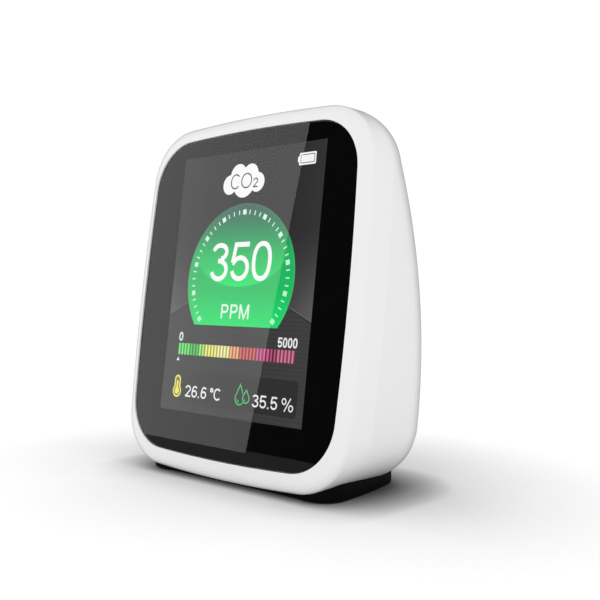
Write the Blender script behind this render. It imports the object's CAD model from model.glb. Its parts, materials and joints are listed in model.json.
import json
import math

import bmesh
import bpy
from mathutils import Matrix, Vector
from mathutils.geometry import delaunay_2d_cdt


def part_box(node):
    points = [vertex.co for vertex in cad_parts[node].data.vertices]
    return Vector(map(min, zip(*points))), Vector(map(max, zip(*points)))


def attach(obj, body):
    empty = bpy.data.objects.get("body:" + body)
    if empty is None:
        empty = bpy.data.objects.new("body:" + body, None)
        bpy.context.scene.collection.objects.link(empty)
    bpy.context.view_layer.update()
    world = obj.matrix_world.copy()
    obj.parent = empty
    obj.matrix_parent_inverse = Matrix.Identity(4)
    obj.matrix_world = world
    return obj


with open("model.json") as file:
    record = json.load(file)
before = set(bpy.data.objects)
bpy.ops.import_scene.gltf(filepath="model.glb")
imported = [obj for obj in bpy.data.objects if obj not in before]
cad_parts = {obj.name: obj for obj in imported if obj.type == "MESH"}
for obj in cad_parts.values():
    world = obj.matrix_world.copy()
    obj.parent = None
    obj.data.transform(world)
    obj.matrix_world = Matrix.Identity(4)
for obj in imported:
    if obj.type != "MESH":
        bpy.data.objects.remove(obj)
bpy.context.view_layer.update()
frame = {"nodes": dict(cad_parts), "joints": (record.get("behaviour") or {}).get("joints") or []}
scene = bpy.context.scene

MM = 0.001
BLACK = (0.0, 0.0, 0.0)
WHITE = (1.0, 1.0, 1.0)

# ------------------------------------------------------------------ camera and colour
LENS = 51.0             # focal length and sensor width, in millimetres
SENSOR = 36.0
CAMERA_PLACE = (0.13229, -0.13639, 0.04218)
CAMERA_DIP = 0.0171007  # how far it looks below the horizon, and its turn, in radians
CAMERA_TURN = 0.740012

camera_data = bpy.data.cameras.new("camera")
camera_data.lens = LENS
camera_data.sensor_width = SENSOR
camera_data.clip_start = 0.005
camera_data.clip_end = 50.0
camera = bpy.data.objects.new("camera", camera_data)
camera.location = CAMERA_PLACE
camera.rotation_euler = (math.pi / 2 - CAMERA_DIP, 0.0, CAMERA_TURN)
scene.collection.objects.link(camera)
scene.camera = camera
scene.view_settings.view_transform = "Standard"
scene.view_settings.look = "None"


# ------------------------------------------------------------------ the leaning face
PICTURE_LIFT = 1.65     # millimetres from the middle of the display cell up to the picture's

# The button slides along the face's outward normal, so the joint gives the lean of the face.
face_out = Vector(frame["joints"][0]["axis"]).normalized()
face_right = Vector((1.0, 0.0, 0.0))
face_up = face_out.cross(face_right)


def extent(node, direction):
    """Lowest and highest distance of a CAD node's points along a direction, in metres."""
    along = [v.co.dot(direction) for v in frame["nodes"][node].data.vertices]
    return min(along), max(along)


cell_front = extent("lcd_cell", face_out)[1]
glass_inside, glass_outside = extent("front_glass", face_out)
cell_low, cell_high = extent("lcd_cell", face_up)
# The picture area sits above the middle of the cell, whose wider border is at its foot.
picture_height = (cell_low + cell_high) / 2 + PICTURE_LIFT * MM
picture_centre = face_up * picture_height + face_out * cell_front
face_frame = Matrix((
    (face_right.x, face_up.x, face_out.x, picture_centre.x),
    (face_right.y, face_up.y, face_out.y, picture_centre.y),
    (face_right.z, face_up.z, face_out.z, picture_centre.z),
    (0.0, 0.0, 0.0, 1.0),
))


# ------------------------------------------------------------------ node helpers
class Look:
    """A node material on a Principled shader, with coordinates in millimetres."""

    def __init__(self, name, rough=0.5, metallic=0.0, **constants):
        self.material = bpy.data.materials.new(name)
        self.material.use_nodes = True
        self.tree = self.material.node_tree
        self.shader = self.tree.nodes["Principled BSDF"]
        self.shader.inputs["Roughness"].default_value = rough
        self.shader.inputs["Metallic"].default_value = metallic
        for socket, value in constants.items():
            self.shader.inputs[socket.replace("_", " ")].default_value = value
        place = self.tree.nodes.new("ShaderNodeTexCoord")
        self.place = self.add("ShaderNodeMapping", Vector=place.outputs["Object"],
                              Scale=(1 / MM, 1 / MM, 1 / MM)).outputs["Vector"]

    def add(self, kind, settings=None, **inputs):
        """A node with its settings, and each input either linked or set."""
        node = self.tree.nodes.new(kind)
        for key, value in (settings or {}).items():
            setattr(node, key, value)
        for key, value in inputs.items():
            self.feed(node.inputs[key.replace("_", " ")], value)
        return node

    def feed(self, socket, value):
        """Link the socket to another node's output, or set it."""
        if isinstance(value, bpy.types.NodeSocket):
            self.tree.links.new(value, socket)
        else:
            socket.default_value = value

    def noise(self, size, detail=3.0, stretch=(1.0, 1.0, 1.0), distortion=0.0):
        """Noise whose blotches are about size millimetres."""
        spread = self.add("ShaderNodeMapping", Vector=self.place, Scale=stretch)
        return self.add("ShaderNodeTexNoise", Vector=spread.outputs["Vector"], Scale=1.0 / size,
                        Detail=detail, Distortion=distortion).outputs["Fac"]

    def axis(self, name):
        """The coordinate in millimetres along X, Y or Z."""
        return self.add("ShaderNodeSeparateXYZ", Vector=self.place).outputs[name]

    def remap(self, value, from_low, from_high, low, high):
        """Straight-line change of range, held at both ends."""
        node = self.add("ShaderNodeMapRange", Value=value)
        for key, number in zip(("From Min", "From Max", "To Min", "To Max"),
                               (from_low, from_high, low, high)):
            node.inputs[key].default_value = number
        return node.outputs["Result"]

    def ramp(self, value, stops, steps=False):
        """Colour ramp with (position, colour) stops."""
        node = self.add("ShaderNodeValToRGB", Fac=value)
        node.color_ramp.interpolation = "CONSTANT" if steps else "LINEAR"
        marks = node.color_ramp.elements
        while len(marks) < len(stops):
            marks.new(0.5)
        for mark, (position, colour) in zip(marks, stops):
            mark.position = position
            mark.color = (*colour, 1.0)
        return node.outputs["Color"]

    def mix(self, value, low, high):
        """Colour between low and high, each a colour or another node's output."""
        node = self.add("ShaderNodeMix", {"data_type": "RGBA"})
        self.feed(node.inputs["Factor"], value)
        colours = [s for s in node.inputs if s.type == "RGBA"]
        for socket, colour in zip(colours, (low, high)):
            is_link = isinstance(colour, bpy.types.NodeSocket)
            self.feed(socket, colour if is_link else (*colour, 1.0))
        return [s for s in node.outputs if s.type == "RGBA"][0]

    def math(self, operation, first, second=0.0):
        node = self.add("ShaderNodeMath", {"operation": operation})
        self.feed(node.inputs[0], first)
        self.feed(node.inputs[1], second)
        return node.outputs["Value"]

    def bump(self, height, depth, strength=1.0, under=None):
        """Bump of a height field that is depth millimetres deep."""
        node = self.add("ShaderNodeBump", Height=height, Distance=depth * MM, Strength=strength)
        if under is not None:
            self.tree.links.new(under, node.inputs["Normal"])
        return node.outputs["Normal"]

    def base(self, value):
        self.feed(self.shader.inputs["Base Color"], value)

    def socket(self, name, value):
        self.feed(self.shader.inputs[name], value)


OUTLINE_TURN = (0.55, 1.0)      # where the darkening towards an outline starts and ends
OUTLINE_TONE = 0.3              # the tone that it darkens towards, as a share


def moulded(name, colour, shade, rough=0.4, spread=0.06, tone=9.0, grain=0.22, depth=0.01,
            metallic=0.0, stretch=(1.0, 1.0, 1.0), outline=0.0, **constants):
    """Moulded, cast or rolled surface: mottled tone, uneven gloss and a fine grain.

    outline is how much it darkens where it turns away.
    """
    look = Look(name, metallic=metallic, **constants)
    mottled = look.mix(look.noise(tone, 4.0), colour, shade)
    if outline:
        turning = look.add("ShaderNodeLayerWeight", Blend=0.5).outputs["Facing"]
        dark = tuple(c * OUTLINE_TONE for c in colour)
        mottled = look.mix(look.remap(turning, *OUTLINE_TURN, 0.0, outline), mottled, dark)
    look.base(mottled)
    look.socket("Roughness", look.remap(look.noise(tone * 0.35), 0.3, 0.7,
                                        rough - spread, rough + spread))
    coarse = look.bump(look.noise(grain * 14, 2.0), depth * 0.5, 0.25)
    look.socket("Normal", look.bump(look.noise(grain, 2.0, stretch), depth, 0.5, coarse))
    return look


# ------------------------------------------------------------------ materials of the CAD nodes
looks = {}
looks["white_plastic"] = moulded("casing_white", (0.885, 0.885, 0.883), (0.875, 0.876, 0.876),
                                 rough=0.34, spread=0.03, tone=14, grain=0.16, depth=0.004,
                                 outline=0.5, Specular_IOR_Level=0.45)
looks["white_plastic_rear"] = moulded("casing_rear", (0.858, 0.858, 0.856), (0.847, 0.848, 0.849),
                                      rough=0.38, spread=0.03, tone=14, grain=0.16, depth=0.005,
                                      outline=0.5, Specular_IOR_Level=0.45)
looks["black_plastic"] = moulded("base_black", (0.002, 0.002, 0.002), (0.004, 0.004, 0.004),
                                 rough=0.5, grain=0.3, depth=0.02, Specular_IOR_Level=0.12)
looks["black_rubber"] = moulded("foot_rubber", (0.012, 0.012, 0.012), (0.022, 0.021, 0.02),
                                rough=0.78, grain=0.12, depth=0.02, Specular_IOR_Level=0.3)
looks["black_tape"] = moulded("black_print", (0.0015, 0.0015, 0.0017), (0.003, 0.003, 0.0032),
                              rough=0.6, grain=0.1, depth=0.004, Specular_IOR_Level=0.1)
looks["display_surface"] = moulded("display_border", (0.0015, 0.0015, 0.0017),
                                   (0.003, 0.003, 0.0032), rough=0.45, grain=0.1, depth=0.002,
                                   Specular_IOR_Level=0.1)
looks["display_tray"] = moulded("display_tray", (0.012, 0.012, 0.013), (0.02, 0.02, 0.021),
                                rough=0.5, grain=0.2)
looks["ribbon_film"] = moulded("ribbon_film", (0.42, 0.19, 0.035), (0.33, 0.14, 0.025),
                               rough=0.3, grain=0.15, depth=0.003, Coat_Weight=0.4)
looks["frame_plastic"] = moulded("frame_plastic", (0.16, 0.16, 0.165), (0.12, 0.12, 0.125),
                                 rough=0.55, grain=0.25, depth=0.015)
looks["screw_steel"] = moulded("screw_steel", (0.5, 0.5, 0.5), (0.36, 0.36, 0.37), rough=0.3,
                               metallic=1.0, tone=1.2, grain=0.08, depth=0.006)
looks["chip_black"] = moulded("chip_black", (0.02, 0.02, 0.021), (0.032, 0.032, 0.033),
                              rough=0.6, grain=0.06, depth=0.006)
looks["coil_grey"] = moulded("coil_grey", (0.15, 0.15, 0.155), (0.09, 0.09, 0.095),
                             rough=0.5, grain=0.12)
looks["capacitor_tan"] = moulded("capacitor_tan", (0.42, 0.3, 0.17), (0.34, 0.23, 0.12),
                                 rough=0.35, tone=1.0, grain=0.05, depth=0.003)
looks["socket_cream"] = moulded("socket_cream", (0.72, 0.68, 0.56), (0.66, 0.61, 0.49),
                                rough=0.45, grain=0.1)
looks["gold_pins"] = moulded("gold_pins", (0.83, 0.56, 0.2), (0.7, 0.45, 0.15), rough=0.25,
                             metallic=1.0, tone=0.8, grain=0.05, depth=0.003)
looks["gold_chamber"] = moulded("gold_chamber", (0.8, 0.55, 0.22), (0.68, 0.44, 0.16), rough=0.28,
                                metallic=1.0, tone=3.0, grain=0.1, depth=0.005)
looks["white_membrane"] = moulded("white_membrane", (0.78, 0.78, 0.76), (0.7, 0.7, 0.68),
                                  rough=0.85, tone=2.0, grain=0.08, depth=0.03)
looks["red_lead"] = moulded("red_lead", (0.42, 0.015, 0.012), (0.32, 0.012, 0.01),
                            rough=0.45, tone=2.0, grain=0.1, depth=0.004)
looks["socket_steel"] = moulded("socket_steel", (0.62, 0.62, 0.61), (0.5, 0.5, 0.5), rough=0.26,
                                metallic=1.0, tone=1.5, grain=0.1, depth=0.004,
                                stretch=(1.0, 0.15, 1.0))
looks["switch_steel"] = moulded("switch_steel", (0.55, 0.55, 0.54), (0.42, 0.42, 0.42), rough=0.3,
                                metallic=1.0, tone=1.0, grain=0.06, depth=0.003)
looks["button_plastic"] = moulded("button_white", (0.8, 0.8, 0.798), (0.78, 0.78, 0.778),
                                  rough=0.3, spread=0.03, grain=0.12, depth=0.003)


def board_look():
    """Green solder mask over copper tracks, which show as paler, slightly raised lines."""
    look = Look("green_board", rough=0.32, Coat_Weight=0.3)
    cells = look.add("ShaderNodeTexVoronoi", {"feature": "F1", "distance": "MANHATTAN"},
                     Vector=look.place, Scale=0.28, Randomness=0.75)
    tracks = look.math("PINGPONG", look.math("MULTIPLY", cells.outputs["Distance"], 6.0), 1.0)
    raised = look.remap(tracks, 0.42, 0.58, 0.0, 1.0)
    look.base(look.mix(raised, (0.005, 0.075, 0.028), (0.014, 0.14, 0.05)))
    look.socket("Normal", look.bump(raised, 0.03, 0.6))
    return look


def foil_look():
    """Soft silver pouch with shallow wrinkles."""
    look = Look("battery_foil", rough=0.34, metallic=1.0)
    look.base(look.mix(look.noise(6.0), (0.62, 0.62, 0.64), (0.5, 0.5, 0.52)))
    creases = look.bump(look.noise(5.0, 2.0, distortion=1.4), 0.25, 0.6)
    look.socket("Normal", look.bump(look.noise(0.5, 2.0), 0.02, 0.5, creases))
    return look


def foam_look():
    """Open-cell foam with dark pores."""
    look = Look("grey_foam", rough=0.95)
    pores = look.add("ShaderNodeTexVoronoi", {"feature": "F1"}, Vector=look.place, Scale=3.2)
    depth = look.remap(pores.outputs["Distance"], 0.1, 0.6, 0.0, 1.0)
    look.base(look.mix(depth, (0.02, 0.02, 0.021), (0.09, 0.09, 0.092)))
    look.socket("Normal", look.bump(depth, 0.15, 0.8))
    return look


def cloth_look():
    """Thin black woven cloth: two crossing sets of threads."""
    look = Look("dust_cloth", rough=0.85, Sheen_Weight=0.2)
    threads = []
    for direction in ("X", "Z"):
        threads.append(look.add("ShaderNodeTexWave", {"bands_direction": direction},
                                Vector=look.place, Scale=0.55, Distortion=0.3).outputs["Fac"])
    woven = look.math("MULTIPLY", threads[0], threads[1])
    look.base(look.mix(woven, (0.006, 0.006, 0.006), (0.035, 0.035, 0.036)))
    look.socket("Normal", look.bump(woven, 0.06, 0.7))
    return look


def wires_look():
    """Four wires side by side, each in its own insulation colour."""
    look = Look("wire_insulation", rough=0.4)
    low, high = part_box("harness_wires")
    across = look.remap(look.axis("X"), low.x / MM, high.x / MM, 0.0, 1.0)
    stripes = look.ramp(across, [(0.0, (0.5, 0.02, 0.015)), (0.25, (0.02, 0.02, 0.02)),
                                 (0.5, (0.6, 0.45, 0.03)), (0.75, (0.65, 0.65, 0.63))],
                        steps=True)
    look.base(stripes)
    look.socket("Normal", look.bump(look.noise(0.2), 0.004, 0.5))
    return look


def glass_look():
    """Clear cover glass with faint unevenness in its polish."""
    look = Look("cover_glass", Transmission_Weight=1.0, IOR=1.5)
    look.base(look.mix(look.noise(20.0), WHITE, (0.99, 0.997, 0.995)))
    look.socket("Roughness", look.remap(look.noise(12.0), 0.35, 0.8, 0.0, 0.006))
    return look


looks["green_board"] = board_look()
looks["battery_foil"] = foil_look()
looks["grey_foam"] = foam_look()
looks["dust_cloth"] = cloth_look()
looks["wire_mixed"] = wires_look()
looks["cover_glass"] = glass_look()

for node in frame["nodes"].values():
    for place in node.material_slots:
        place.material = looks[place.material.name.split(".")[0]].material


# ------------------------------------------------------------------ soft edges on hard CAD pieces
EDGE_ROUNDING = {"base_plate": 0.25, "rubber_feet": 0.2, "power_button": 0.2, "usb_shell": 0.06,
                 "usb_tongue": 0.06, "case_screws": 0.1}        # widths in millimetres
WELD_DISTANCE = 0.002
SHARP_ANGLE = 40
for name, size in EDGE_ROUNDING.items():
    piece = frame["nodes"][name]
    weld = piece.modifiers.new("weld", "WELD")
    weld.merge_threshold = WELD_DISTANCE * MM
    round_off = piece.modifiers.new("bevel", "BEVEL")
    round_off.width = size * MM
    round_off.segments = 3
    round_off.limit_method = "ANGLE"
    round_off.angle_limit = math.radians(SHARP_ANGLE)


# ------------------------------------------------------------------ the picture on the display
# Flat drawings are made in millimetres on the face plane: x to the right, y up the face,
# from the centre of the picture. Each is a thin slab between the cell and the glass.
LAYER = (glass_inside - cell_front) / 7
SLAB = LAYER * 0.6      # thickness of a slab

# Levels count layers from the front of the cell towards the glass.
BACKDROP_LEVEL, GROUND_LEVEL, RIM_LEVEL, DISC_LEVEL, GLOSS_LEVEL, MARKS_LEVEL = (
    0.5, 1.5, 2.5, 3.5, 4.5, 5.5)
SIGN_LEVEL, OVER_SIGN_LEVEL, READING_LEVEL, FRONT_LEVEL = 2.6, 3.6, 4.6, 5.6
BORDER_LEVEL = 7.4      # just inside the back of the glass
SHARPEST = 0.45         # how far a line's corner may narrow before it's cut short


def arc(cx, cy, rx, ry, start, end, count=24, power=2.0):
    """Points of an elliptical arc from start to end degrees. A power above 2 squares it up."""
    points = []
    for i in range(count + 1):
        angle = math.radians(start + (end - start) * i / count)
        c, s = math.cos(angle), math.sin(angle)
        c = math.copysign(abs(c) ** (2 / power), c)
        s = math.copysign(abs(s) ** (2 / power), s)
        points.append((cx + rx * c, cy + ry * s))
    return points


def rounded(x0, x1, y0, y1, r):
    """Outline of a rectangle with rounded corners."""
    points = []
    for cx, cy, start in ((x1 - r, y1 - r, 0), (x0 + r, y1 - r, 90),
                          (x0 + r, y0 + r, 180), (x1 - r, y0 + r, 270)):
        points += arc(cx, cy, r, r, start, start + 90, 6)
    return points


def ribbon(points, width, closed=False):
    """Four-sided tiles that cover a line of the given width."""
    points = [Vector(p) for p in points]
    if closed and (points[0] - points[-1]).length < 1e-6:
        points.pop()
    count = len(points)
    sides = []
    for i, point in enumerate(points):
        before = points[i - 1] if i > 0 or closed else None
        after = points[(i + 1) % count] if i < count - 1 or closed else None
        ways = []
        if before is not None:
            ways.append((point - before).normalized())
        if after is not None:
            ways.append((after - point).normalized())
        way = sum(ways, Vector((0.0, 0.0))).normalized()
        across = Vector((-way.y, way.x))
        reach = width / 2 / max(SHARPEST, across.dot(Vector((-ways[0].y, ways[0].x))))
        sides.append((point + across * reach, point - across * reach))
    tiles = []
    for i in range(count if closed else count - 1):
        (a, b), (c, d) = sides[i], sides[(i + 1) % count]
        tiles.append([a, b, d, c])
    return tiles


def inside(x, y, outline):
    """Whether a point is inside a closed outline."""
    odd = False
    for i, (x1, y1) in enumerate(outline):
        x0, y0 = outline[i - 1]
        if (y0 > y) != (y1 > y) and x < x0 + (y - y0) / (y1 - y0) * (x1 - x0):
            odd = not odd
    return odd


def drawing(name, outlines, level, look):
    """One thin slab that covers the union of the outlines."""
    boxes, points, faces = [], [], []
    for outline in outlines:
        xs, ys = [p[0] for p in outline], [p[1] for p in outline]
        boxes.append((min(xs), max(xs), min(ys), max(ys)))
        faces.append(list(range(len(points), len(points) + len(outline))))
        points += [Vector((p[0], p[1])) for p in outline]
    flat = delaunay_2d_cdt(points, [], faces, 1, 1e-5)
    mesh = bpy.data.meshes.new(name)
    shape = bmesh.new()
    corners = [shape.verts.new((p.x * MM, p.y * MM, level * LAYER)) for p in flat[0]]
    for face in flat[2]:
        x = sum(flat[0][i].x for i in face) / len(face)
        y = sum(flat[0][i].y for i in face) / len(face)
        if any(x0 <= x <= x1 and y0 <= y <= y1 and inside(x, y, outline)
               for outline, (x0, x1, y0, y1) in zip(outlines, boxes)):
            shape.faces.new([corners[i] for i in face])
    bmesh.ops.delete(shape, geom=[v for v in shape.verts if not v.link_faces], context="VERTS")
    lifted = bmesh.ops.extrude_face_region(shape, geom=shape.faces[:])
    bmesh.ops.translate(shape, vec=(0, 0, SLAB),
                        verts=[g for g in lifted["geom"] if isinstance(g, bmesh.types.BMVert)])
    bmesh.ops.recalc_face_normals(shape, faces=shape.faces[:])
    shape.to_mesh(mesh)
    shape.free()
    piece = bpy.data.objects.new(name, mesh)
    piece.matrix_world = face_frame
    scene.collection.objects.link(piece)
    mesh.materials.append(look.material)
    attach(piece, "housing")
    return piece


GLOW = 1.0          # strength of the lit picture


def glowing(name):
    """A glowing look with its colour still to come, and a factor that follows fine pixel rows."""
    look = Look(name, rough=0.5, Specular_IOR_Level=0.0, Base_Color=(*BLACK, 1.0))
    rows = look.add("ShaderNodeTexWave", {"bands_direction": "Y"}, Vector=look.place, Scale=1.6)
    fine = look.math("MULTIPLY", rows.outputs["Fac"], look.noise(3.0))
    look.socket("Emission Strength", GLOW)
    return look, fine


def lit(name, colour, spread=0.03):
    """Glowing picture colour, dimmer by the spread in its pixel rows."""
    look, fine = glowing(name)
    dim = tuple(c * (1 - spread) for c in colour)
    look.socket("Emission Color", look.mix(fine, colour, dim))
    return look


def graded(name, axis, start, end, stops, spread=0.02):
    """Glowing colour that changes along an axis from start to end millimetres."""
    look, fine = glowing(name)
    along = look.remap(look.axis(axis), start, end, 0.0, 1.0)
    colours = look.ramp(along, stops)
    dimmer = look.remap(fine, 0.0, 1.0, 1.0, 1.0 - spread)
    scaled = look.add("ShaderNodeVectorMath", {"operation": "SCALE"})
    look.feed(scaled.inputs[0], colours)
    look.feed(scaled.inputs["Scale"], dimmer)
    look.socket("Emission Color", scaled.outputs["Vector"])
    return look


PICTURE_X, PICTURE_Y = 21.9, 29.05      # half the picture's size
WINDOW_X, WINDOW_Y = 21.75, 28.9        # half the size of the clear window in the border
BORDER_SHRINK = 0.9995                  # keeps the border just inside the edge of the glass


def printed_border():
    """Black print on the inside of the glass, from its edge to the picture."""
    rays = {}
    for v in frame["nodes"]["front_glass"].data.vertices:
        if v.co.dot(face_out) < glass_inside + 0.01 * MM:
            x = (v.co - picture_centre).dot(face_right) / MM
            y = (v.co - picture_centre).dot(face_up) / MM
            rays[round(math.atan2(y, x), 5)] = (x * BORDER_SHRINK, y * BORDER_SHRINK)
    order = sorted(rays)

    def outer(angle):
        """Point on the glass's edge in the direction of an angle."""
        after = next((a for a in order if a >= angle), order[0])
        before = order[order.index(after) - 1]
        (x0, y0), (x1, y1) = rays[before], rays[after]
        dx, dy = math.cos(angle), math.sin(angle)
        share = (x0 * dy - y0 * dx) / ((x0 - x1) * dy - (y0 - y1) * dx)
        return (x0 + (x1 - x0) * share, y0 + (y1 - y0) * share)

    def inner(angle):
        """Point on the window's edge in the direction of an angle."""
        dx, dy = math.cos(angle), math.sin(angle)
        reach = min(WINDOW_X / max(abs(dx), 1e-9), WINDOW_Y / max(abs(dy), 1e-9))
        return (dx * reach, dy * reach)

    corner = math.atan2(WINDOW_Y, WINDOW_X)
    angles = sorted(order + [corner, math.pi - corner, corner - math.pi, -corner])
    tiles = []
    for i, angle in enumerate(angles):
        after = angles[(i + 1) % len(angles)]
        if abs(after - angle) < 1e-4:
            continue
        tiles.append([inner(angle), outer(angle), outer(after), inner(after)])
    return tiles


print_look = moulded("border_print", (0.0015, 0.0015, 0.0017), (0.003, 0.003, 0.0032),
                     rough=0.6, grain=0.1, depth=0.002, Specular_IOR_Level=0.0)
border = drawing("border_print", printed_border(), BORDER_LEVEL, print_look)


def backdrop_look():
    """Dark grey that glows softly towards the sides, low down."""
    look = glowing("picture_backdrop")[0]
    side = look.math("ABSOLUTE", look.math("DIVIDE", look.axis("X"), PICTURE_X))
    side = look.math("POWER", side, 2.2)
    glow = look.remap(look.axis("Y"), 12.0, -6.0, 0.0, 1.0)
    glow = look.math("MULTIPLY", look.math("POWER", glow, 1.6), side)
    tone = look.mix(side, (0.022, 0.022, 0.022), (0.034, 0.034, 0.034))
    tone = look.mix(glow, tone, (0.115, 0.112, 0.114))
    look.socket("Emission Color", tone)
    return look


def ground_look():
    """Dark grey with faint bands, like a floor seen at a low angle."""
    look = glowing("picture_ground")[0]
    bands = look.add("ShaderNodeTexWave", {"bands_direction": "Y"}, Vector=look.place, Scale=0.35,
                     Distortion=0.2)
    side = look.math("ABSOLUTE", look.math("DIVIDE", look.axis("X"), PICTURE_X))
    low = look.mix(bands.outputs["Fac"], (0.034, 0.034, 0.035), (0.042, 0.042, 0.043))
    high = look.mix(bands.outputs["Fac"], (0.048, 0.048, 0.049), (0.056, 0.056, 0.057))
    look.socket("Emission Color", look.mix(side, low, high))
    return look


HORIZON_MIDDLE, HORIZON_SIDE = -4.9, -8.3       # heights
HORIZON_INNER = 15.5                            # where its slope starts
HORIZON_SKEW = 0.7
HORIZON_LINE = 0.16
backdrop = [(-PICTURE_X, -PICTURE_Y), (PICTURE_X, -PICTURE_Y),
            (PICTURE_X, PICTURE_Y), (-PICTURE_X, PICTURE_Y)]
ground = [(-PICTURE_X, -PICTURE_Y), (PICTURE_X, -PICTURE_Y), (PICTURE_X, HORIZON_SIDE),
          (HORIZON_INNER, HORIZON_MIDDLE - HORIZON_SKEW), (-HORIZON_INNER, HORIZON_MIDDLE),
          (-PICTURE_X, HORIZON_SIDE + HORIZON_SKEW)]
drawing("picture_backdrop", [backdrop], BACKDROP_LEVEL, backdrop_look())
drawing("picture_ground", [ground], GROUND_LEVEL, ground_look())
horizon = ribbon(ground[2:4], HORIZON_LINE) + ribbon(ground[4:6], HORIZON_LINE)
drawing("picture_horizon", horizon, RIM_LEVEL, lit("horizon_line", (0.014, 0.014, 0.014)))
raised_horizon = [[(x, y + 0.45) for x, y in tile] for tile in horizon]
drawing("picture_horizon_glow", raised_horizon, RIM_LEVEL, lit("horizon_glow", (0.13, 0.13, 0.13)))

# gauge: a disc cut off flat at its foot, with a lens-shaped gloss and a ring of marks
GAUGE_X = -0.15
GAUGE_Y = 0.8
GAUGE_RADIUS = 16.4
GAUGE_TOP = GAUGE_Y + GAUGE_RADIUS
GAUGE_FOOT = -9.5
RIM_WIDTH = 0.45


def cut_disc(radius):
    """Outline of the disc, cut off flat at the gauge's foot."""
    angle = math.degrees(math.asin((GAUGE_FOOT - GAUGE_Y) / radius))
    return arc(GAUGE_X, GAUGE_Y, radius, radius, angle, 180 - angle, 96)


def gauge_look(name, points):
    """Glowing colours given at heights in millimetres, from the top of the gauge to its foot."""
    stops = [((GAUGE_TOP - y) / (GAUGE_TOP - GAUGE_FOOT), colour) for y, colour in points]
    return graded(name, "Y", GAUGE_TOP, GAUGE_FOOT, stops)


disc_colours = [(17.2, (0.052, 0.13, 0.1)), (13.5, (0.034, 0.21, 0.117)),
                (10.0, (0.022, 0.31, 0.112)), (6.0, (0.016, 0.48, 0.125)),
                (2.0, (0.013, 0.51, 0.13)), (-2.0, (0.01, 0.56, 0.128)),
                (-6.0, (0.01, 0.68, 0.155)), (-9.5, (0.004, 0.8, 0.16))]
rim_colours = [(y, (r + 0.03, g * 0.9 + 0.02, b + 0.015)) for y, (r, g, b) in disc_colours]
gloss_colours = disc_colours[:2] + [(10.0, (0.02, 0.34, 0.12)), (6.0, (0.016, 0.53, 0.135)),
                                    (2.0, (0.012, 0.68, 0.15)), (-1.2, (0.004, 0.86, 0.17))]
drawing("gauge_rim", [cut_disc(GAUGE_RADIUS)], RIM_LEVEL, gauge_look("gauge_rim", rim_colours))
drawing("gauge_disc", [cut_disc(GAUGE_RADIUS - RIM_WIDTH)], DISC_LEVEL,
        gauge_look("gauge_disc", disc_colours))
GLOSS_Y, GLOSS_X_RADIUS = 6.3, 13.7
gloss = (arc(GAUGE_X, GLOSS_Y, GLOSS_X_RADIUS, 7.3, 180, 360, 48)
         + arc(GAUGE_X, GLOSS_Y, GLOSS_X_RADIUS, 8.5, 0, 180, 48)[1:-1])
drawing("gauge_gloss", [gloss], GLOSS_LEVEL, gauge_look("gauge_gloss", gloss_colours))

MARK_RING = 14.45       # radius of the ring of marks
MARK_STEP = 25.7 / 4    # degrees between marks, every fourth of which is big
MARKS_EACH_WAY = 20
BIG_MARK, SMALL_MARK = (0.52, 0.55), (0.14, 0.5)        # half width and half length
marks = []
for i in range(-MARKS_EACH_WAY, MARKS_EACH_WAY + 1):
    angle = math.radians(90 - i * MARK_STEP)
    half_width, half_length = BIG_MARK if i % 4 == 0 else SMALL_MARK
    outward = Vector((math.cos(angle), math.sin(angle)))
    centre = Vector((GAUGE_X, GAUGE_Y)) + outward * MARK_RING
    across = Vector((-outward.y, outward.x))
    marks.append([centre + outward * half_length * a + across * half_width * b
                  for a, b in ((1, 1), (1, -1), (-1, -1), (-1, 1))])
drawing("gauge_marks", marks, MARKS_LEVEL,
        gauge_look("gauge_marks", [(GAUGE_TOP, (0.8, 0.95, 0.88)),
                                   (GAUGE_FOOT, (0.6, 0.98, 0.72))]))


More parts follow.
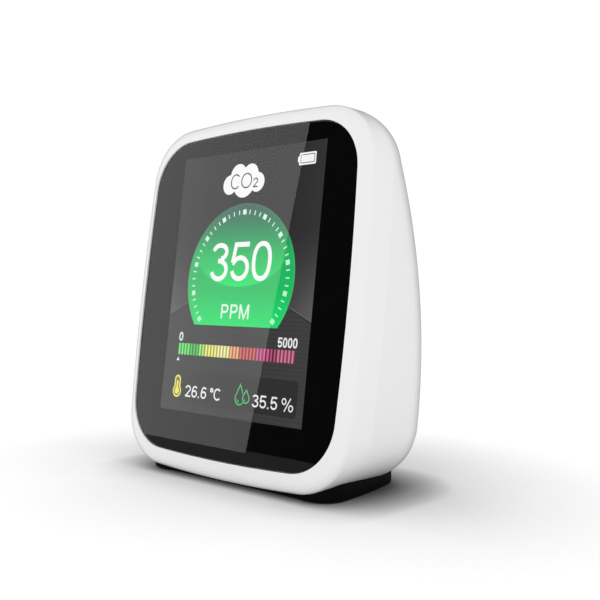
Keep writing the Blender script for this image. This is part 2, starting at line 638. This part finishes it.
# ------------------------------------------------------------------ characters
def glyph(character, w, t):
    """Strokes of a character 1 high and w wide, with line width t, and whether each is closed."""
    h = t / 2
    rx, mid = w / 2 - h, w / 2
    if character == "0":
        return [(arc(mid, 0.5, rx, 0.5 - h, 0, 360, 48, 2.3), True)]
    if character == "2":
        top = arc(mid, 1 - h - 0.25, rx, 0.25, 170, -18, 24)
        return [(top + [(h + 0.03, h)], False), ([(h * 0.3, h), (w, h)], False)]
    if character == "3":
        upper = arc(mid * 0.98, 0.757, rx * 0.9, 0.243 - h, 168, -78, 26)
        lower = arc(mid, 0.29, rx, 0.29 - h, 76, -168, 30)
        waist = [(mid * 0.82, 0.527), (mid * 1.15, 0.527)]
        return [(upper, False), (lower, False), (waist, False)]
    if character == "5":
        bowl = arc(mid, 0.33, rx, 0.33 - h, 148, -165, 34)
        return [([(w * 0.93, 1 - h), (w * 0.22, 1 - h), (w * 0.1, 0.475)], False),
                ([(w * 0.1, 0.475)] + bowl, False)]
    if character == "6":
        bowl = arc(mid, 0.32, rx, 0.32 - h, 0, 360, 40)
        back = arc(mid * 1.06, 0.36, rx * 1.06, 0.64 - h, 180, 90, 16)
        hook = arc(mid * 1.06, 0.74, rx * 0.9, 0.26 - h, 90, 14, 12)
        return [(bowl, True), (back + hook[1:], False)]
    if character == "C":
        return [(arc(mid, 0.5, rx, 0.5 - h, 42, 318, 44, 2.1), False)]
    if character == "O":
        return [(arc(mid, 0.5, rx, 0.5 - h, 0, 360, 52, 2.1), True)]
    if character == "P":
        turn = arc(w - h - 0.22, 0.73 - h / 2, 0.22, 0.27 - h / 2, 90, -90, 16)
        return [([(h, 0), (h, 1)], False), ([(h, 1 - h)] + turn + [(h, turn[-1][1])], False)]
    if character == "M":
        return [([(h, 0), (h, 1)], False), ([(w - h, 0), (w - h, 1)], False),
                ([(h, 1), (mid, 0.06), (w - h, 1)], False)]
    if character == "%":
        ring = 0.2
        return [(arc(ring + h * 0.6, 0.74, ring, 0.26 - h * 0.6, 0, 360, 24), True),
                (arc(w - ring - h * 0.6, 0.26, ring, 0.26 - h * 0.6, 0, 360, 24), True),
                ([(w * 0.26, -0.02), (w * 0.74, 1.02)], False)]
    if character == "degree":
        return [(arc(w / 2, 1 - w / 2, w / 2 - h, w / 2 - h, 0, 360, 20), True)]
    return [([(h, 0), (h, t)], False)]


PERCENT_LINE = 0.75     # the percent sign has thinner lines


def lettering(characters, x0, x1, base, height, stroke, widths, space):
    """Tiles of a row of characters from x0 to x1. Widths and spaces are shares of the height."""
    t = stroke / height
    total = sum(widths) + sum(space)
    stretch = (x1 - x0) / (total * height)
    tiles, x = [], x0
    for character, w, after in zip(characters, widths, list(space) + [0]):
        line = stroke * (PERCENT_LINE if character == "%" else 1.0)
        for points, closed in glyph(character, w * stretch, t):
            scaled = [(x + px * height, base + py * height) for px, py in points]
            tiles += ribbon(scaled, line, closed)
        x += (w + after) * stretch * height
    return tiles


white_glow = lit("reading_white", WHITE, 0.02)
pale_glow = lit("unit_pale", (0.8, 1.0, 0.85), 0.03)
small_white = lit("label_white", (0.9, 0.9, 0.9), 0.04)

# name, level, look, characters, left, right, base, height, line width, widths, spaces
READINGS = (
    ("gauge_reading", FRONT_LEVEL, white_glow, "350", -9.45, 9.3, 0.2, 8.5, 1.06,
     (0.66, 0.675, 0.675), (0.09, 0.085)),
    ("gauge_unit", FRONT_LEVEL, pale_glow, "PPM", -4.55, 4.05, -7.9, 3.1, 0.46,
     (0.72, 0.72, 0.95), (0.2, 0.17)),
    ("scale_low_label", SIGN_LEVEL, small_white, "0", -17.65, -16.3, -13.35, 2.05, 0.38,
     (0.66,), ()),
    ("scale_high_label", SIGN_LEVEL, small_white, "5000", 13.25, 18.65, -13.35, 2.05, 0.36,
     (0.62, 0.62, 0.62, 0.62), (0.08, 0.08, 0.08)),
    ("temperature_reading", READING_LEVEL, small_white, ("2", "6", ".", "6", "degree", "C"),
     -13.7, -1.95, -25.6, 2.6, 0.37,
     (0.56, 0.56, 0.13, 0.56, 0.32, 0.72), (0.1, 0.12, 0.12, 0.34, 0.06)),
    ("humidity_reading", READING_LEVEL, small_white, "35.5%", 7.5, 19.05, -25.9, 2.6, 0.37,
     (0.58, 0.58, 0.13, 0.58, 0.98), (0.09, 0.12, 0.12, 0.36)),
)
for name, level, look, *text in READINGS:
    drawing(name, lettering(*text), level, look)

# cloud with the name of the gas
PUFFS = ((-3.24, 23.64, 2.45), (0.5, 23.5, 2.35), (-5.68, 21.63, 2.2), (2.75, 21.63, 2.15),
         (-1.3, 21.8, 3.3))
puffs = [arc(x, y, r, r, 0, 360, 48)[:-1] for x, y, r in PUFFS]
puffs.append([(-4.5, 20.5), (1.8, 20.5), (1.8, 23.5), (-4.5, 23.5)])
drawing("cloud", puffs, SIGN_LEVEL, white_glow)
dark_line = lit("cloud_lettering", (0.06, 0.062, 0.065), 0.1)
drawing("cloud_letters", lettering("CO", -5.5, 1.1, 20.5, 3.4, 0.3, (0.88, 0.98), (0.08,))
        + lettering("2", 1.5, 3.0, 20.5, 2.1, 0.28, (0.7,), ()), OVER_SIGN_LEVEL, dark_line)

# battery level: body and cap, with a line inside
drawing("battery_symbol", [rounded(14.5, 19.1, 24.05, 26.65, 0.3),
                           rounded(14.12, 14.8, 24.75, 25.95, 0.15)], SIGN_LEVEL, white_glow)
drawing("battery_symbol_line", ribbon(rounded(14.95, 18.68, 24.5, 26.2, 0.15), 0.16, True),
        OVER_SIGN_LEVEL, dark_line)

# colour scale with its pointer: how many bars each band has, and its colour
BANDS = ((4, (0.1, 0.68, 0.12)), (3, (0.03, 0.45, 0.035)), (1, (0.22, 0.76, 0.13)),
         (1, (0.33, 0.68, 0.09)), (4, (0.76, 0.74, 0.13)), (4, (0.9, 0.8, 0.27)),
         (3, (0.85, 0.33, 0.12)), (5, (0.52, 0.06, 0.05)), (4, (0.5, 0.045, 0.2)),
         (2, (0.26, 0.02, 0.07)), (5, (0.5, 0.09, 0.2)))
SCALE_LEFT, SCALE_RIGHT = -17.55, 18.2
SCALE_LOW, SCALE_HIGH = -16.35, -13.8
BAR_START, BAR_WIDTH = 0.22, 0.5        # shares of the pitch


def upright(left, width):
    """Outline of a rectangle as high as the colour scale."""
    right = left + width
    return [(left, SCALE_LOW), (right, SCALE_LOW), (right, SCALE_HIGH), (left, SCALE_HIGH)]


pitch = (SCALE_RIGHT - SCALE_LEFT) / sum(count for count, colour in BANDS)
x = SCALE_LEFT
for number, (count, colour) in enumerate(BANDS):
    name = f"scale_band_{number:02d}"
    dull = tuple(c * 0.5 for c in colour)
    drawing(name, [upright(x, count * pitch)], SIGN_LEVEL, lit(name, dull))
    name = f"scale_bars_{number:02d}"
    bright = tuple(min(1.0, c * 1.2 + 0.1) for c in colour)
    bars = [upright(x + (i + BAR_START) * pitch, BAR_WIDTH * pitch) for i in range(count)]
    drawing(name, bars, OVER_SIGN_LEVEL, lit(name, bright, 0.1))
    x += count * pitch
drawing("scale_pointer", [[(-17.85, -17.75), (-16.75, -17.75), (-17.3, -16.9)]], SIGN_LEVEL,
        small_white)

# panel with temperature and humidity
PANEL_LEFT, PANEL_RIGHT = -19.0, 19.9
PANEL_COLOURS = [(0.0, (0.048, 0.048, 0.049)), (0.35, (0.03, 0.03, 0.031)),
                 (1.0, (0.029, 0.029, 0.03))]
drawing("reading_panel", [rounded(PANEL_LEFT, PANEL_RIGHT, -27.15, -19.75, 0.8)], SIGN_LEVEL,
        graded("reading_panel", "X", PANEL_LEFT, PANEL_RIGHT, PANEL_COLOURS))


BULB_X, BULB_Y = -16.58, -24.52
SYMBOL_SPREAD = 0.05


def bulb(radius_tube, radius_bulb, top):
    """Outline shapes of a thermometer of the given radii, up to top."""
    tube = [(BULB_X - radius_tube, BULB_Y), (BULB_X + radius_tube, BULB_Y)]
    tube += arc(BULB_X, top - radius_tube, radius_tube, radius_tube, 0, 180, 16)
    return [tube, arc(BULB_X, BULB_Y, radius_bulb, radius_bulb, 0, 360, 32)[:-1]]


drawing("thermometer_body", bulb(1.02, 1.42, -20.95), OVER_SIGN_LEVEL,
        lit("thermometer_yellow", (0.92, 0.84, 0.2), SYMBOL_SPREAD))
drawing("thermometer_bore", bulb(0.62, 1.05, -21.35), READING_LEVEL,
        lit("thermometer_dark", (0.24, 0.2, 0.012), SYMBOL_SPREAD))
drawing("thermometer_fluid", bulb(0.3, 0.72, -22.2), FRONT_LEVEL,
        lit("thermometer_fluid", (0.95, 0.86, 0.16), SYMBOL_SPREAD))


def drop(cx, low, radius, tip, grow=0.0):
    """Outline of a drop: a round foot drawn up to a point."""
    radius += grow
    reach = tip + grow * 1.6 - low
    side = math.degrees(math.acos(min(1.0, radius / reach)))
    return arc(cx, low, radius, radius, 90 + side, 450 - side, 32) + [(cx, low + reach)]


LARGE_DROP = (3.72, -24.5, 1.3, -21.6)      # middle and radius of the foot, height of the tip
SMALL_DROP = (5.62, -24.38, 0.95, -22.6)
DROP_LINE = 0.26
drop_green = lit("drop_green", (0.07, 0.58, 0.2), SYMBOL_SPREAD)
panel_dark = lit("drop_inside", (0.028, 0.036, 0.03), SYMBOL_SPREAD)


def drop_lines(place, glint_radius, glint_line):
    """Tiles of a drop's outline and of the short glint inside it."""
    glint = arc(place[0], place[1], glint_radius, glint_radius, 195, 262, 8)
    return ribbon(drop(*place), DROP_LINE, True) + ribbon(glint, glint_line)


drawing("humidity_drop", drop_lines(LARGE_DROP, 0.75, 0.22), OVER_SIGN_LEVEL, drop_green)
drawing("humidity_drop_gap", [drop(*SMALL_DROP, 0.3)], READING_LEVEL, panel_dark)
drawing("humidity_small_drop", drop_lines(SMALL_DROP, 0.48, 0.2), FRONT_LEVEL, drop_green)


# ------------------------------------------------------------------ floor, sky and softbox
FLOOR_SIZE = 6.0                # metres from the middle to each side
FLOOR_LIGHT = 1.05              # brightness of the open floor
FLOOR_GLOSS = 0.3               # its brightness in the glass
FLOOR_SHADE = 0.06              # how far the soft shadow reaches, in metres
FLOOR_DEPTH = (0.65, 1.6)       # how deep it is in front and at the sides
FLOOR_ASIDE = (-5.0, 50.0)      # where it has those depths
CONTACT_SHADE = 0.012           # the same for the darker shadow close to the base
CONTACT_DEPTH = (0.45, 1.8)
CONTACT_ASIDE = (5.0, 45.0)
OCCLUSION = {"samples": 16}


def staged_mesh(name, corners, look):
    """One flat face that belongs to the set, not to the object."""
    mesh = bpy.data.meshes.new(name)
    mesh.from_pydata([tuple(c) for c in corners], [], [tuple(range(len(corners)))])
    mesh.materials.append(look)
    obj = bpy.data.objects.new(name, mesh)
    scene.collection.objects.link(obj)
    return obj


def floor_shading():
    """Even glow, darkened near the object by how much of the sky it hides."""
    look = Look("floor_white", rough=0.9, Specular_IOR_Level=0.0, Base_Color=(*BLACK, 1.0))
    near = look.add("ShaderNodeAmbientOcclusion", OCCLUSION, Distance=FLOOR_SHADE)
    contact = look.add("ShaderNodeAmbientOcclusion", OCCLUSION, Distance=CONTACT_SHADE)
    aside = look.math("ADD", look.axis("Y"), look.math("ABSOLUTE", look.axis("X")))
    shade = look.math(
        "MULTIPLY",
        look.math("POWER", near.outputs["AO"], look.remap(aside, *FLOOR_ASIDE, *FLOOR_DEPTH)),
        look.math("POWER", contact.outputs["AO"],
                  look.remap(aside, *CONTACT_ASIDE, *CONTACT_DEPTH)))
    look.socket("Emission Color", look.mix(shade, BLACK, WHITE))
    mirror = look.add("ShaderNodeLightPath").outputs["Is Glossy Ray"]
    look.socket("Emission Strength", look.remap(mirror, 0.0, 1.0, FLOOR_LIGHT, FLOOR_GLOSS))
    return look


floor_corners = [(x * FLOOR_SIZE, y * FLOOR_SIZE, 0)
                 for x, y in ((-1, -1), (1, -1), (1, 1), (-1, 1))]
staged_mesh("floor", floor_corners, floor_shading().material)

SKY_LIGHT = 1.06        # what fills the background
SKY_FRONT = 1.31        # what lights the object from the camera's side
SKY_BACK = 0.5          # and from behind
SKY_ZENITH = 0.72       # how much of that is left straight overhead
KEY_WAY = (0.6, -0.85, 0.25)
SKY_GLOSS = 0.06        # what mirrors see near the horizon
SKY_TOP = 0.75          # what mirrors see overhead
SKY_TONE = (0.8, 0.8, 0.8)      # colour of the light that doesn't go straight to the camera

world = bpy.data.worlds.new("studio")
scene.world = world
world.use_nodes = True
sky = world.node_tree
sky.nodes.clear()


def sky_node(kind, *feeds):
    """A node of the sky, with its inputs linked in order."""
    node = sky.nodes.new(kind)
    for number, source in enumerate(feeds):
        sky.links.new(source, node.inputs[number])
    return node


def sky_range(value, from_low, from_high, low, high, interpolation="LINEAR"):
    """Change of range, held at both ends."""
    node = sky_node("ShaderNodeMapRange", value)
    node.interpolation_type = interpolation
    for key, number in zip(("From Min", "From Max", "To Min", "To Max"),
                           (from_low, from_high, low, high)):
        node.inputs[key].default_value = number
    return node.outputs["Result"]


def sky_light(colour, strength):
    """Background whose strength is another node's output or a number."""
    node = sky.nodes.new("ShaderNodeBackground")
    node.inputs["Color"].default_value = (*colour, 1.0)
    if isinstance(strength, bpy.types.NodeSocket):
        sky.links.new(strength, node.inputs["Strength"])
    else:
        node.inputs["Strength"].default_value = strength
    return node.outputs["Background"]


path = sky.nodes.new("ShaderNodeLightPath")
direction = sky.nodes.new("ShaderNodeTexCoord").outputs["Generated"]
rise = sky_node("ShaderNodeSeparateXYZ", direction).outputs["Z"]
toward = sky_node("ShaderNodeVectorMath", direction)
toward.operation = "DOT_PRODUCT"
toward.inputs[1].default_value = Vector(KEY_WAY).normalized()
dimmed = sky_node("ShaderNodeMath",
                  sky_range(toward.outputs["Value"], -0.9, -0.3, SKY_BACK, SKY_FRONT),
                  sky_range(rise, 0.35, 1.0, 1.0, SKY_ZENITH))
dimmed.operation = "MULTIPLY"
mirrored = sky_light(SKY_TONE, sky_range(rise, 0.4, 0.8, SKY_GLOSS, SKY_TOP, "SMOOTHSTEP"))
seen = sky_node("ShaderNodeMixShader", path.outputs["Is Camera Ray"],
                sky_light(SKY_TONE, dimmed.outputs["Value"]), sky_light(WHITE, SKY_LIGHT))
choose = sky_node("ShaderNodeMixShader", path.outputs["Is Glossy Ray"], seen.outputs["Shader"],
                  mirrored)
sky_node("ShaderNodeOutputWorld", choose.outputs["Shader"])

# A card beyond the view gives the slanted reflection. It fills this outline on the face, seen
# from the camera, in millimetres from the picture's centre.
CARD_OUTLINE = ((19.0, 48.0), (-70.0, 48.0), (-70.0, -35.3), (7.5, -35.3))
CARD_DISTANCE = 0.7
CARD_LIGHT = 1.35


def softbox(name, face_corners, distance, radiance):
    """A card seen mirrored in the glass, behind the given outline on the face."""
    corners = []
    for x, y in face_corners:
        on_glass = picture_centre + face_right * x * MM + face_up * y * MM
        on_glass += face_out * (glass_outside - cell_front)
        way = (on_glass - camera.location).normalized()
        mirrored_way = way - 2 * way.dot(face_out) * face_out
        corners.append(on_glass + mirrored_way * distance)
    look = Look(name, rough=1.0, Specular_IOR_Level=0.0, Base_Color=(*BLACK, 1.0))
    look.socket("Emission Color", look.mix(look.noise(400.0), WHITE, (0.98, 0.98, 0.98)))
    look.socket("Emission Strength", radiance)
    card = staged_mesh(name, corners, look.material)
    card.visible_camera = False
    card.visible_diffuse = False
    card.visible_shadow = False
    card.visible_transmission = False


softbox("softbox", CARD_OUTLINE, CARD_DISTANCE, CARD_LIGHT)
